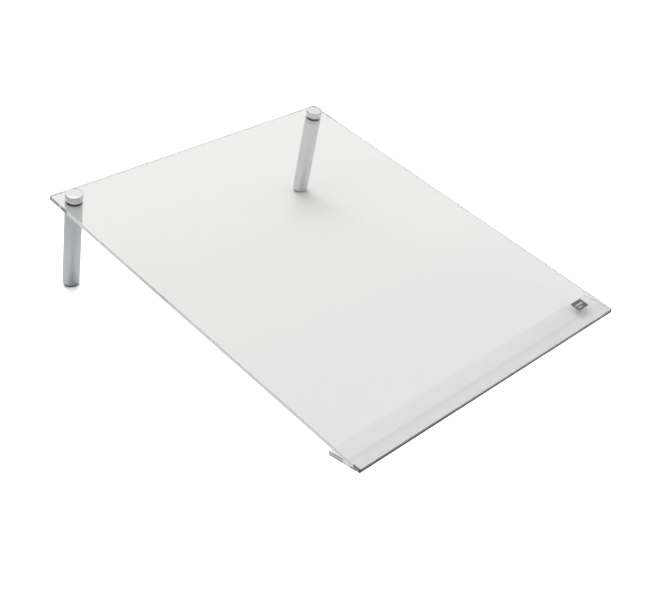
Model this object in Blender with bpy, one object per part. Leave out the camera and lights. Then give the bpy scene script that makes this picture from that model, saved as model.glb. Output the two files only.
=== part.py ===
"""Sloped desktop memo board: a clear acrylic sheet that stands on two turned aluminium legs.

The sheet rises from a bonded foot strip along its front edge to a leg near each rear corner.
Each leg is a standoff: a cap and a barrel clamp the sheet between two washers on one stud.
Metres, +Z up. +Y runs to the rear edge and +X to the writer's right hand.
The origin lies on the desk under the middle of the object's box.
"""
import math

import bmesh
import bpy
from mathutils import Matrix, Vector

# Board sheet. Its length is measured up the slope.
BOARD_WIDTH = 0.320
BOARD_LENGTH = 0.384
SHEET_THICKNESS = 0.004
BOARD_CORNER_RADIUS = 0.001
SHEET_ARRIS = 0.0003

# Foot strip, cut from the same sheet
STRIP_DEPTH = 0.030
STRIP_NOSE_HEIGHT = 0.0003

# Place of each leg, from the board's rear edge and from its side edge
LEG_FROM_REAR = 0.015
LEG_FROM_SIDE = 0.015

# Barrel
BARREL_DIAMETER = 0.015
BARREL_LENGTH = 0.0865
BARREL_CHAMFER = 0.0004
THREAD_RELIEF_DEPTH = 0.0015
THREAD_RELIEF_WIDENING = 0.0004

# Cap
CAP_DIAMETER = 0.0152
CAP_HEIGHT = 0.0053
CAP_RIM_RADIUS = 0.0008
CAP_FOOT_CHAMFER = 0.0003
CAP_ROOF = 0.0018

# Stud
STUD_DIAMETER = 0.006
STUD_BELOW_BOARD = 0.013
STUD_CHAMFER = 0.0006
STUD_SOCKET_ACROSS_FLATS = 0.003
STUD_SOCKET_DEPTH = 0.003

# Washers
CLEAR_WASHER_DIAMETER = 0.015
CLEAR_WASHER_THICKNESS = 0.0008
BLACK_WASHER_DIAMETER = 0.0143
BLACK_WASHER_THICKNESS = 0.0005

# Rubber foot
FOOT_DIAMETER = 0.0146
FOOT_THICKNESS = 0.0012
FOOT_EDGE_CHAMFER = 0.0003
FOOT_STEM_DIAMETER = 0.0044
FOOT_STEM_LENGTH = 0.006
FOOT_STEM_LEAD = 0.0005

# Clearances: where two pieces meet, round the stud, past the end of a plug, and a cutter's overrun
SEAT_GAP = 0.0003
STUD_CLEARANCE = 0.0003
END_CLEARANCE = 0.0004
CUT_OVERRUN = 0.002

# Drill points are 118 degrees across
DRILL_POINT_ANGLE = math.radians(59.0)
TURNED_SEGMENTS = 48
RIM_ARC_STEPS = 4
CORNER_STEPS = 6

# Levels along a leg, measured square to the board from its underside
CLEAR_WASHER_BASE = SHEET_THICKNESS + SEAT_GAP
CAP_BASE = CLEAR_WASHER_BASE + CLEAR_WASHER_THICKNESS + SEAT_GAP
CAP_TOP = CAP_BASE + CAP_HEIGHT
CAP_HOLE_TOP = CAP_TOP - CAP_ROOF
BLACK_WASHER_TOP = -SEAT_GAP
BLACK_WASHER_BASE = BLACK_WASHER_TOP - BLACK_WASHER_THICKNESS
BARREL_TOP = BLACK_WASHER_BASE - SEAT_GAP
BARREL_BASE = BARREL_TOP - BARREL_LENGTH
FOOT_TOP = BARREL_BASE - SEAT_GAP
FOOT_BASE = FOOT_TOP - FOOT_THICKNESS

# Radii and heights that neighbours share
STUD_RADIUS = STUD_DIAMETER / 2
STUD_HOLE_RADIUS = STUD_RADIUS + STUD_CLEARANCE
STUD_TOP = CAP_HOLE_TOP - END_CLEARANCE
STUD_BASE = -STUD_BELOW_BOARD
STEM_HOLE_RADIUS = FOOT_STEM_DIAMETER / 2 + SEAT_GAP
FOOT_TREAD_RADIUS = FOOT_DIAMETER / 2 - FOOT_EDGE_CHAMFER

# The leg stands square to the board, so the front of its foot meets the desk first.
# That sets the slope: its tangent is the leg's reach over the distance from the front edge.
LEG_UP_SLOPE = BOARD_LENGTH - LEG_FROM_REAR
LEG_SIDE = BOARD_WIDTH / 2 - LEG_FROM_SIDE
SLOPE = math.atan2(-FOOT_BASE, LEG_UP_SLOPE - FOOT_TREAD_RADIUS)

# The object's box runs from the sheet's front edge to the rearmost rim of board, barrel and foot
FRONTMOST = -(SHEET_THICKNESS - SHEET_ARRIS) * math.sin(SLOPE)


def rear_of(radius, level):
    """How far back a leg's round rim of this radius reaches, at this level under the board."""
    return (LEG_UP_SLOPE + radius) * math.cos(SLOPE) - level * math.sin(SLOPE)


REARMOST = max(
    BOARD_LENGTH * math.cos(SLOPE),
    rear_of(BARREL_DIAMETER / 2, BARREL_BASE + BARREL_CHAMFER),
    rear_of(FOOT_DIAMETER / 2, FOOT_BASE + FOOT_EDGE_CHAMFER))
MIDDLE = (FRONTMOST + REARMOST) / 2


def clear_scene():
    """Remove whatever the file held before."""
    for item in list(bpy.data.objects):
        bpy.data.objects.remove(item, do_unlink=True)


def material(name, colour, roughness, metallic, transmission=0.0, ior=1.5):
    """A Principled finish in one plain colour."""
    finish = bpy.data.materials.new(name)
    finish.use_nodes = True
    shader = finish.node_tree.nodes["Principled BSDF"]
    shader.inputs["Base Color"].default_value = (*colour, 1.0)
    shader.inputs["Roughness"].default_value = roughness
    shader.inputs["Metallic"].default_value = metallic
    shader.inputs["Transmission Weight"].default_value = transmission
    shader.inputs["IOR"].default_value = ior
    return finish


def make_finishes():
    """One finish for each stock that the object is made of."""
    return {
        "acrylic": material("clear_acrylic", (0.97, 0.98, 0.98), 0.02, 0.0, 1.0, 1.49),
        "aluminium": material("satin_aluminium", (0.66, 0.68, 0.69), 0.34, 1.0),
        "steel": material("zinc_steel", (0.55, 0.55, 0.56), 0.38, 1.0),
        "clear_washer": material("clear_nylon", (0.88, 0.89, 0.88), 0.25, 0.0, 0.6, 1.5),
        "black_washer": material("black_rubber", (0.02, 0.02, 0.021), 0.6, 0.0),
        "foot": material("grey_rubber", (0.06, 0.06, 0.062), 0.75, 0.0),
    }


def empty(name, parent=None):
    """A guide frame: it carries pieces and is no piece itself."""
    frame = bpy.data.objects.new(name, None)
    bpy.context.collection.objects.link(frame)
    frame.parent = parent
    return frame


def piece(name, mesh, finish, parent, place=(0.0, 0.0, 0.0)):
    """Link a mesh as a named piece in its parent's frame."""
    item = bpy.data.objects.new(name, mesh)
    bpy.context.collection.objects.link(item)
    mesh.materials.append(finish)
    item.parent = parent
    item.location = place
    return item


def arc(centre_r, centre_z, radius, start, end, steps):
    """Points (r, z) on an arc about a centre, from one angle to another, ends included."""
    angles = [start + (end - start) * step / steps for step in range(steps + 1)]
    return [(centre_r + radius * math.cos(a), centre_z + radius * math.sin(a)) for a in angles]


def turned(name, profile, closed):
    """Spin a profile of (radius, height) points about Z.

    An open profile starts and ends on the axis. A closed one is the section of a ring.
    """
    shape = bmesh.new()
    points = [shape.verts.new((radius, 0.0, height)) for radius, height in profile]
    edges = [shape.edges.new(pair) for pair in zip(points, points[1:])]
    if closed:
        edges.append(shape.edges.new((points[-1], points[0])))
    bmesh.ops.spin(shape, geom=points + edges, cent=Vector(), axis=Vector((0, 0, 1)),
                   angle=math.tau, steps=TURNED_SEGMENTS, use_merge=True)
    bmesh.ops.remove_doubles(shape, verts=shape.verts, dist=SEAT_GAP / TURNED_SEGMENTS)
    bmesh.ops.recalc_face_normals(shape, faces=shape.faces)
    mesh = bpy.data.meshes.new(name)
    shape.to_mesh(mesh)
    shape.free()
    mesh.shade_smooth()
    mesh.set_sharp_from_angle(angle=math.radians(30.0))
    return mesh


def extruded(name, outline, along):
    """Fill a closed outline of points and extrude it by a vector into a solid."""
    shape = bmesh.new()
    face = shape.faces.new([shape.verts.new(point) for point in outline])
    grown = bmesh.ops.extrude_face_region(shape, geom=[face])
    moved = [part for part in grown["geom"] if isinstance(part, bmesh.types.BMVert)]
    bmesh.ops.translate(shape, verts=moved, vec=along)
    bmesh.ops.recalc_face_normals(shape, faces=shape.faces)
    mesh = bpy.data.meshes.new(name)
    shape.to_mesh(mesh)
    shape.free()
    return mesh


def cutter(name, mesh, parent, place):
    """A hidden guide solid that a Boolean takes away."""
    tool = bpy.data.objects.new(name, mesh)
    bpy.context.collection.objects.link(tool)
    tool.parent = parent
    tool.location = place
    tool.hide_render = True
    tool.display_type = "WIRE"
    return tool


def cut(item, tool):
    """Take a cutter away from a piece."""
    boolean = item.modifiers.new("cut_" + tool.name, "BOOLEAN")
    boolean.operation = "DIFFERENCE"
    boolean.solver = "EXACT"
    boolean.object = tool


def arris(item, width, angle):
    """Ease the edges that are sharper than an angle, as a polished sheet's are."""
    bevel = item.modifiers.new("arris", "BEVEL")
    bevel.width = width
    bevel.segments = 1
    bevel.limit_method = "ANGLE"
    bevel.angle_limit = angle


def leg_places():
    """Side name and place of each leg's axis on the board's underside."""
    for side, sign in (("left", -1), ("right", 1)):
        yield side, (sign * LEG_SIDE, LEG_UP_SLOPE, 0.0)


def board_outline():
    """The sheet's rectangle with its four corners rounded, counter-clockwise from the front right."""
    radius = BOARD_CORNER_RADIUS
    reach = BOARD_WIDTH / 2 - radius
    centres = ((reach, radius), (reach, BOARD_LENGTH - radius),
               (-reach, BOARD_LENGTH - radius), (-reach, radius))
    points = []
    for turn, (x, y) in enumerate(centres, start=-1):
        start = turn * math.pi / 2
        points += arc(x, y, radius, start, start + math.pi / 2, CORNER_STEPS)
    return [(x, y, 0.0) for x, y in points]


def make_board(finish, slope_frame):
    """The clear sheet, with a deburred stud hole near each rear corner."""
    mesh = extruded("board_sheet", board_outline(), (0.0, 0.0, SHEET_THICKNESS))
    board = piece("board_sheet", mesh, finish, slope_frame)
    arris(board, SHEET_ARRIS, math.radians(60.0))
    flare = STUD_HOLE_RADIUS + SHEET_ARRIS + CUT_OVERRUN
    profile = [(0.0, -CUT_OVERRUN), (flare, -CUT_OVERRUN), (STUD_HOLE_RADIUS, SHEET_ARRIS),
               (STUD_HOLE_RADIUS, SHEET_THICKNESS - SHEET_ARRIS),
               (flare, SHEET_THICKNESS + CUT_OVERRUN), (0.0, SHEET_THICKNESS + CUT_OVERRUN)]
    drill = turned("stud_drill", profile, closed=False)
    for side, place in leg_places():
        cut(board, cutter("stud_drill_" + side, drill, slope_frame, place))


def make_foot_strip(finish, desk_frame):
    """The strip under the front edge: flat on the desk, its front bevelled to meet the board.

    The bevel lies one seat gap under the board, from a fine blunt nose up to the strip's top.
    """
    bevel_start = SEAT_GAP / math.sin(SLOPE)
    nose = bevel_start + STRIP_NOSE_HEIGHT / math.tan(SLOPE)
    bevel_end = bevel_start + SHEET_THICKNESS / math.tan(SLOPE)
    ease = SHEET_ARRIS
    left = -BOARD_WIDTH / 2
    section = [(nose, 0.0), (STRIP_DEPTH - ease, 0.0), (STRIP_DEPTH, ease),
               (STRIP_DEPTH, SHEET_THICKNESS - ease), (STRIP_DEPTH - ease, SHEET_THICKNESS),
               (bevel_end, SHEET_THICKNESS), (nose, STRIP_NOSE_HEIGHT)]
    outline = [(left, y, z) for y, z in section]
    mesh = extruded("front_foot_strip", outline, (BOARD_WIDTH, 0.0, 0.0))
    piece("front_foot_strip", mesh, finish, desk_frame)


def drilled_end(radius, mouth, bottom):
    """Wall and drill point of a blind hole, from its mouth to the axis."""
    inward = 1 if bottom > mouth else -1
    point = bottom + inward * radius / math.tan(DRILL_POINT_ANGLE)
    return [(radius, mouth), (radius, bottom), (0.0, point)]


def barrel_profile():
    """The barrel's section: a chamfered bar, tapped at the top and drilled for the foot below."""
    radius = BARREL_DIAMETER / 2
    relief = STUD_HOLE_RADIUS + THREAD_RELIEF_WIDENING
    tap_bottom = STUD_BASE - END_CLEARANCE
    stem_bottom = FOOT_TOP + FOOT_STEM_LENGTH + END_CLEARANCE
    down = drilled_end(STUD_HOLE_RADIUS, BARREL_TOP - THREAD_RELIEF_DEPTH, tap_bottom)[::-1]
    up = drilled_end(STEM_HOLE_RADIUS, BARREL_BASE, stem_bottom)
    return down + [
        (relief, BARREL_TOP - THREAD_RELIEF_DEPTH), (relief, BARREL_TOP),
        (radius - BARREL_CHAMFER, BARREL_TOP), (radius, BARREL_TOP - BARREL_CHAMFER),
        (radius, BARREL_BASE + BARREL_CHAMFER), (radius - BARREL_CHAMFER, BARREL_BASE)] + up


def cap_profile():
    """The cap's section: a disc with a rounded rim above and a blind tapped hole below."""
    radius = CAP_DIAMETER / 2
    rim = arc(radius - CAP_RIM_RADIUS, CAP_TOP - CAP_RIM_RADIUS, CAP_RIM_RADIUS,
              0.0, math.pi / 2, RIM_ARC_STEPS)
    side = [(radius - CAP_FOOT_CHAMFER, CAP_BASE), (radius, CAP_BASE + CAP_FOOT_CHAMFER)]
    hole = [(0.0, CAP_HOLE_TOP), (STUD_HOLE_RADIUS, CAP_HOLE_TOP), (STUD_HOLE_RADIUS, CAP_BASE)]
    return hole + side + rim + [(0.0, CAP_TOP)]


def stud_profile():
    """A plain rod with a lead at each end."""
    lead = STUD_RADIUS - STUD_CHAMFER
    return [(0.0, STUD_BASE), (lead, STUD_BASE), (STUD_RADIUS, STUD_BASE + STUD_CHAMFER),
            (STUD_RADIUS, STUD_TOP - STUD_CHAMFER), (lead, STUD_TOP), (0.0, STUD_TOP)]


def washer_profile(diameter, base, thickness):
    """The section of a flat ring that passes the stud."""
    top = base + thickness
    return [(STUD_HOLE_RADIUS, base), (diameter / 2, base), (diameter / 2, top),
            (STUD_HOLE_RADIUS, top)]


def foot_profile():
    """A rubber pad as wide as the barrel's face, with a stem that plugs into it."""
    rim = FOOT_DIAMETER / 2
    stem = FOOT_STEM_DIAMETER / 2
    tip = FOOT_TOP + FOOT_STEM_LENGTH
    return [(0.0, FOOT_BASE), (FOOT_TREAD_RADIUS, FOOT_BASE), (rim, FOOT_BASE + FOOT_EDGE_CHAMFER),
            (rim, FOOT_TOP), (stem, FOOT_TOP), (stem, tip - FOOT_STEM_LEAD),
            (stem - FOOT_STEM_LEAD, tip), (0.0, tip)]


def make_stud(name, finish, slope_frame, place):
    """The stud, with a hexagon key socket sunk in its lower end."""
    stud = piece(name, turned(name, stud_profile(), closed=False), finish, slope_frame, place)
    corner = STUD_SOCKET_ACROSS_FLATS / math.sqrt(3.0)
    low = STUD_BASE - CUT_OVERRUN
    hexagon = [(corner * math.cos(turn * math.pi / 3), corner * math.sin(turn * math.pi / 3), low)
               for turn in range(6)]
    key = extruded("stud_socket", hexagon, (0.0, 0.0, CUT_OVERRUN + STUD_SOCKET_DEPTH))
    cut(stud, cutter(name + "_socket", key, slope_frame, place))


def make_leg(side, place, finishes, slope_frame):
    """One standoff leg, from the cap above the board to the rubber foot."""
    clear = washer_profile(CLEAR_WASHER_DIAMETER, CLEAR_WASHER_BASE, CLEAR_WASHER_THICKNESS)
    black = washer_profile(BLACK_WASHER_DIAMETER, BLACK_WASHER_BASE, BLACK_WASHER_THICKNESS)
    stack = (("cap_nut", cap_profile(), False, "aluminium"),
             ("clear_washer", clear, True, "clear_washer"),
             ("black_washer", black, True, "black_washer"),
             ("leg_barrel", barrel_profile(), False, "aluminium"),
             ("rubber_foot", foot_profile(), False, "foot"))
    for kind, profile, closed, stock in stack:
        name = kind + "_" + side
        piece(name, turned(name, profile, closed), finishes[stock], slope_frame, place)
    make_stud("threaded_stud_" + side, finishes["steel"], slope_frame, place)


def main():
    """Build every piece."""
    clear_scene()
    finishes = make_finishes()
    desk_frame = empty("desk_frame")
    desk_frame.location = (0.0, -MIDDLE, 0.0)
    slope_frame = empty("slope_frame", desk_frame)
    slope_frame.matrix_local = Matrix.Rotation(SLOPE, 4, "X")
    make_board(finishes["acrylic"], slope_frame)
    make_foot_strip(finishes["acrylic"], desk_frame)
    for side, place in leg_places():
        make_leg(side, place, finishes, slope_frame)
    bpy.context.view_layer.update()
    print("slope in degrees: %.3f" % math.degrees(SLOPE))
    print("front edge of the board lies at y = %.5f" % -MIDDLE)


main()
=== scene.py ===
# %% [markdown]
# # A sloped desktop memo board, from its imported frame to a finished picture
# The real object is a clear acrylic sheet. It rises from a narrow strip that lies on the desk to two
# turned aluminium legs. Nearly everything on it is clear or bare metal, so its looks come from four
# things: polished edges, fine turned rims, what is seen through the sheet, and soft light.
# The imported model gives every piece's place. It is loaded first.

# %% Load the imported frame
import math

import bmesh
import bpy
import numpy as np
from mathutils import Matrix, Vector
from mathutils.geometry import delaunay_2d_cdt


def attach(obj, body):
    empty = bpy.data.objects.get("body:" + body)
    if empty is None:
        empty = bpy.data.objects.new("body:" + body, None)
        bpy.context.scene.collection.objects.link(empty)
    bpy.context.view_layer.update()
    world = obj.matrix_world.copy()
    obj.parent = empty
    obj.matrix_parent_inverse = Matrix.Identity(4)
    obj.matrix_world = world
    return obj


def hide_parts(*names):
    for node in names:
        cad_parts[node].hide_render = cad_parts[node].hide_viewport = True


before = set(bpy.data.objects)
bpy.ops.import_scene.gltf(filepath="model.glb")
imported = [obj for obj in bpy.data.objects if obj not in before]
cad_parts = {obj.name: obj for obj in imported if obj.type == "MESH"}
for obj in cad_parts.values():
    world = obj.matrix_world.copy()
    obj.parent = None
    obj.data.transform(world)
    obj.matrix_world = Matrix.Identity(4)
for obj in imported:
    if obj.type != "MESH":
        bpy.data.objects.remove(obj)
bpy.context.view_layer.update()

# %% [markdown]
# ## Where the slope lies
# Board and legs are tilted together, and only the foot strip lies level. Every tilted piece is
# easier to make in the board's own directions: across, up the slope and square out of the sheet.
# Those could be typed in, but longer legs would then leave them wrong, so they are measured on the
# packed sheet. The sum of its upward facing areas, each along its own normal, points out of it.

# %% Measure the directions of the slope
def read(items, what, width, kind=float):
    """One value of every point, corner or face of a mesh, as an array with this many columns."""
    flat = np.empty(len(items) * width, dtype=kind)
    items.foreach_get(what, flat)
    return flat.reshape(-1, width)


def corners_of(node):
    """The node's mesh points as rows x, y, z."""
    return read(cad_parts[node].data.vertices, "co", 3)


def facing_up(node, least=0.9):
    """Mean direction of the node's faces that look upwards, each weighted by its area."""
    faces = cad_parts[node].data.polygons
    normals, areas = read(faces, "normal", 3), read(faces, "area", 1)
    total = (normals * areas * (normals[:, 2:] > least)).sum(0)
    return total / np.linalg.norm(total)


ACROSS = np.array((1.0, 0.0, 0.0))
OUT = facing_up("board_sheet")
UP_SLOPE = np.cross(OUT, ACROSS)
UP_SLOPE /= np.linalg.norm(UP_SLOPE)
SLOPE = math.acos(OUT[2])
print("slope in degrees: %.3f" % math.degrees(SLOPE))


# %% Measure how far a node reaches along a direction
def reach(node, direction):
    """Lowest and highest value of a node's points along a direction."""
    along = corners_of(node) @ direction
    return along.min(), along.max()


SHEET_LOW, SHEET_HIGH = reach("board_sheet", OUT)
SLOPE_START, SLOPE_END = reach("board_sheet", UP_SLOPE)
SIDE_REACH = reach("board_sheet", ACROSS)[1]
SHEET_THICKNESS, SHEET_LENGTH = SHEET_HIGH - SHEET_LOW, SLOPE_END - SLOPE_START
print("sheet: %.4f thick, %.4f long" % (SHEET_THICKNESS, SHEET_LENGTH))


# %% Turn slope coordinates into places in the frame
def on_slope(points):
    """Rows (across, up the slope, out of the underside) become rows x, y, z.

    Formula: the first times ACROSS, plus the slope's start and the second times UP_SLOPE, plus
    the underside's level and the third times OUT.
    """
    points = np.asarray(points, dtype=float)
    return (points[..., 0:1] * ACROSS + (SLOPE_START + points[..., 1:2]) * UP_SLOPE
            + (SHEET_LOW + points[..., 2:3]) * OUT)


def level(node):
    """A node's lowest and highest level, measured square out of the sheet's underside."""
    low, high = reach(node, OUT)
    return low - SHEET_LOW, high - SHEET_LOW


def leg_axis(side):
    """Place of a leg's axis: across, and up the slope."""
    barrel = "leg_barrel_" + side
    return sum(reach(barrel, ACROSS)) / 2, sum(reach(barrel, UP_SLOPE)) / 2 - SLOPE_START


FRONT_LINE = on_slope((0.0, 0.0, 0.0))
SIDES = ("left", "right")
AXES = {side: leg_axis(side) for side in SIDES}
print("leg axes:", {side: np.round(AXES[side], 4).tolist() for side in SIDES})

# %% [markdown]
# ## One way to make a mesh
# All the shapes here are grids: one parameter runs along a profile and the other carries the profile
# round an axis or an outline. numpy works out every point of such a grid at once. Then its rows are
# joined with faces, and the mesh is made, checked to be closed, and turned with its faces outwards.

# %% Number a grid's points and join its rows with faces
def numbered(grid):
    """The numbers of a grid's points, row after row."""
    return np.arange(grid.shape[0] * grid.shape[1]).reshape(grid.shape[:2])


def full_turn(count):
    """Angles evenly spaced round a circle."""
    return np.arange(count) * math.tau / count


def directions(angles):
    """Rows cos a, sin a."""
    return np.stack((np.cos(angles), np.sin(angles)), axis=-1)


def grid_faces(rows):
    """Faces between neighbouring rows of point numbers, each row closed into a ring.

    Formula: face (k, j) joins points (k, j), (k, j+1), (k+1, j+1) and (k+1, j), and j+1 is taken
    round the ring.
    """
    ahead = np.roll(rows, -1, axis=1)
    return np.stack((rows[:-1], ahead[:-1], ahead[1:], rows[1:]), axis=-1).reshape(-1, 4)


def as_lists(quads):
    """Four-cornered faces as lists, with a repeated corner left out, so a pole gets triangles."""
    lower = quads[quads[:, 0] == quads[:, 1]][:, 1:]
    upper = quads[quads[:, 2] == quads[:, 3]][:, :3]
    whole = quads[(quads[:, 0] != quads[:, 1]) & (quads[:, 2] != quads[:, 3])]
    return whole.tolist() + lower.tolist() + upper.tolist()


# %% Make a closed mesh from points and faces
def put_in_scene(name, data):
    """An object of this data, linked into the scene."""
    item = bpy.data.objects.new(name, data)
    bpy.context.scene.collection.objects.link(item)
    return item


def closed_piece(name, points, faces, finishes, finish_of=None):
    """A new piece from rows of points and lists of faces, closed and facing outwards.

    finish_of gives each face the number of its finish.
    """
    mesh = bpy.data.meshes.new(name)
    mesh.from_pydata(np.asarray(points).tolist(), [], faces)
    if finish_of is not None:
        mesh.polygons.foreach_set("material_index", np.asarray(finish_of, dtype=np.int32))
    work = bmesh.new()
    work.from_mesh(mesh)
    bmesh.ops.recalc_face_normals(work, faces=work.faces)
    open_edges = sum(not edge.is_manifold for edge in work.edges)
    volume = work.calc_volume(signed=True)
    work.to_mesh(mesh)
    work.free()
    for finish in finishes:
        mesh.materials.append(finish)
    print("%s: %d faces, %d open edges, %.2f cubic centimetres"
          % (name, len(mesh.polygons), open_edges, volume * 1e6))
    return put_in_scene(name, mesh)


# %% [markdown]
# ## Shader maths as plain Python
# A finish that varies needs arithmetic: a speckle times a strength, one minus a mask. Ten Math nodes
# hide such a simple formula. Here a small class wraps a node's output, so that an expression such as
# 0.3 + 0.1 * speckle adds the nodes by itself. Every other node comes from one method.

# %% Wrap a socket so that arithmetic adds Math nodes
class Varying:
    """A number that changes over a surface. Python's operators on it add Math nodes."""

    def __init__(self, finish, socket):
        self.finish, self.socket = finish, socket

    def joined(self, operation, first, second):
        made = self.finish.node("ShaderNodeMath", {"operation": operation}, {0: first, 1: second})
        return Varying(self.finish, made.outputs[0])

    def __add__(self, other):
        return self.joined("ADD", self, other)

    __radd__ = __add__

    def __mul__(self, other):
        return self.joined("MULTIPLY", self, other)

    __rmul__ = __mul__

    def __sub__(self, other):
        return self.joined("SUBTRACT", self, other)

    def __rsub__(self, other):
        return self.joined("SUBTRACT", other, self)


# %% One method that makes any node
class Finish:
    """The nodes of one finish, of a piece, the desk or the world."""

    def __init__(self, owner):
        owner.use_nodes = True
        self.owner, self.tree = owner, owner.node_tree
        self.tree.nodes.clear()

    def node(self, kind, options=None, sockets=None):
        """Add a node: its options first, then a value or a link for each named socket."""
        made = self.tree.nodes.new(kind)
        for option, value in (options or {}).items():
            setattr(made, option, value)
        for socket, value in (sockets or {}).items():
            if isinstance(value, Varying):
                value = value.socket
            if isinstance(value, bpy.types.NodeSocket):
                self.tree.links.new(value, made.inputs[socket])
            else:
                made.inputs[socket].default_value = value
        return made

    def value(self, kind, options=None, sockets=None, output=0):
        """Add a node and wrap one of its outputs for arithmetic."""
        return Varying(self, self.node(kind, options, sockets).outputs[output])

    def blend(self, amount, first, second):
        """A colour between two colours."""
        made = self.node("ShaderNodeMix", {"data_type": "RGBA"}, {0: amount, 6: first, 7: second})
        return made.outputs[2]

    def principled(self, **sockets):
        """A Principled shader. A socket's name is written with _ for each space."""
        return self.node("ShaderNodeBsdfPrincipled", {}, {
            name.replace("_", " "): value for name, value in sockets.items()})

    def mixed(self, amount, first, second):
        """A shader between two shaders."""
        return self.node("ShaderNodeMixShader", {},
                         {0: amount, 1: first.outputs[0], 2: second.outputs[0]})

    def steps(self, value, low, high):
        """0 below low, 1 above high and a smooth rise between."""
        return self.value("ShaderNodeMapRange", {"interpolation_type": "SMOOTHSTEP"},
                          {"Value": value, "From Min": low, "From Max": high})

    def band(self, value, rise, fall):
        """1 inside a band and 0 outside: up over one pair of values, down over the other."""
        return self.steps(value, *rise) * (1 - self.steps(value, *fall))

    def ray(self, kind):
        """1 for rays of this kind and 0 for all others."""
        return self.value("ShaderNodeLightPath", output=kind)

    def split(self, vector):
        """The three numbers of a vector."""
        parts = self.node("ShaderNodeSeparateXYZ", {}, {0: vector}).outputs
        return [Varying(self, part) for part in parts]

    def along(self, vector, direction):
        """How much of a vector points along a fixed direction."""
        return self.value("ShaderNodeVectorMath", {"operation": "DOT_PRODUCT"},
                          {0: vector, 1: direction.tolist()}, output="Value")

    def speckle(self, size, detail=2.0):
        """Noise whose lumps are about this many metres across, fixed to the object."""
        where = self.node("ShaderNodeTexCoord").outputs["Object"]
        return self.value("ShaderNodeTexNoise", {}, {"Vector": where, "Scale": 1.0 / size,
                                                     "Detail": detail, "Roughness": 0.55})

    def dented(self, height):
        """The surface's normal where a relief of this height in metres lies on it."""
        return self.node("ShaderNodeBump", {}, {"Height": height, "Strength": 1.0,
                                                "Distance": 1.0}).outputs[0]

    def show(self, shader, kind="ShaderNodeOutputMaterial"):
        """Send a shader to the output."""
        self.node(kind, {}, {"Surface": shader.outputs[0]})
        print("finish %s: %d nodes" % (self.owner.name, len(self.tree.nodes)))
        return self.owner


def new_finish(name):
    """An empty finish for pieces."""
    return Finish(bpy.data.materials.new(name))


def colour(red, green, blue):
    """A colour as Blender wants it, with full alpha."""
    return (red, green, blue, 1.0)


BLACK, WHITE = colour(0.0, 0.0, 0.0), colour(1.0, 1.0, 1.0)

# %% [markdown]
# ## Where on the sheet a point lies
# Some tones keep to a place on the sheet, and they are painted light: painted shade and reflection
# darken an edge by the cemented joint, and painted shade greys the sheet at its front. A painted
# texture would need unwrapping. Object coordinates need none, but they run level, so a Mapping node
# turns and shifts them into the sheet's own measures.

# %% Read a point's place on the sheet or on the strip
def sheet_place(finish, turned):
    """A point's place across, up from the front line, and above the underside, as three numbers.

    turned is the slope's angle for the board and nought for the strip, which lies level.
    """
    spot = finish.node("ShaderNodeTexCoord").outputs["Object"]
    own = finish.node("ShaderNodeMapping", {"vector_type": "TEXTURE"}, {
        "Vector": spot, "Location": FRONT_LINE.tolist(), "Rotation": (turned, 0.0, 0.0)})
    return finish.split(own.outputs[0])


# %% [markdown]
# ## Clear acrylic
# A cast sheet is clear right through. What shows it is a faint loss of light, the soft mirror of
# the room, and slight handling marks. Real refraction does all of that, at one cost: a path tracer
# takes glass for solid when it looks for lamps, so the desk under the sheet would go black. The
# usual remedy is to let shadow rays pass a thin grey film instead.

# %% Clear faces
ACRYLIC_IOR = 1.49
SHADOW_TINT = colour(0.955, 0.957, 0.957)
WIPE_SIZE, WIPE_ROUGHNESS = 0.06, 0.012
DUST_SIZE, DUST_LIMITS, DUST_ROUGHNESS = 0.0009, (0.68, 0.76), 0.03


def let_lamps_through(finish, shader):
    """Swap the shader for a clear grey film where a ray only asks whether a lamp is in sight."""
    film = finish.node("ShaderNodeBsdfTransparent", {}, {"Color": SHADOW_TINT})
    return finish.mixed(finish.ray("Is Shadow Ray"), shader, film)


def clear_face(finish, tint):
    """Polished faces: gloss dulled a little by wiping marks and fine dust."""
    wiped = finish.speckle(WIPE_SIZE, detail=3.0)
    dust = finish.steps(finish.speckle(DUST_SIZE, detail=1.0), *DUST_LIMITS)
    return let_lamps_through(finish, finish.principled(
        Base_Color=tint, Roughness=WIPE_ROUGHNESS * wiped + DUST_ROUGHNESS * dust,
        IOR=ACRYLIC_IOR, Transmission_Weight=1.0))


# %% The board's faces
# The front colour is the sheet's tint with painted shade, where the sheet comes near the desk.
ACRYLIC_FRONT_SHADED = colour(0.853, 0.8505, 0.852)
ACRYLIC_REAR = colour(0.903, 0.899, 0.885)
FIRST_RISE, FIRST_SHARE, LAST_RISE = (0.070, 0.175), 0.66, (0.270, 0.340)


def make_clear_acrylic():
    """The board's clear faces, with painted shade: the tint pales up the slope, in two smooth rises.
    """
    finish = new_finish("clear_acrylic")
    up = sheet_place(finish, SLOPE)[1]
    # Painted shade at the front, fading out up the slope.
    paler = (FIRST_SHARE * finish.steps(up, *FIRST_RISE)
             + (1 - FIRST_SHARE) * finish.steps(up, *LAST_RISE))
    return finish.show(clear_face(finish, finish.blend(paler, ACRYLIC_FRONT_SHADED, ACRYLIC_REAR)))


CLEAR_ACRYLIC = make_clear_acrylic()

# %% [markdown]
# ### The strip's faces
# The foot strip is seen through the board, so its own tint is paler. Its cemented part looks greyer
# towards the end of the joint, and the strip looks greyer near its right end. Both greys are painted
# shade in the tint, as a layer of cement would draw two more lines. The real rear face hardly
# draws a line, and an index of refraction of 1 lets light pass it straight on here.

# %% Clear faces of the strip
STRIP_TINT = colour(0.953, 0.975, 0.963)
JOINT_END, JOINT_SOFT = 0.0128, 0.0003
# Painted shade in the strip's tint: how it greys up the cemented part and near the right end.
CEMENT_SHADE_RISE, CEMENT_SHADE_LESS = 14.1, 0.0105
RIGHT_SHADE, RIGHT_RISE, RIGHT_FALL = 0.080, (0.015, 0.105), (0.125, 0.145)
HIDDEN_BY_CEMENT = 0.6
HAZE_SIZE, HAZE_ROUGHNESS = 0.003, 0.02


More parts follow.
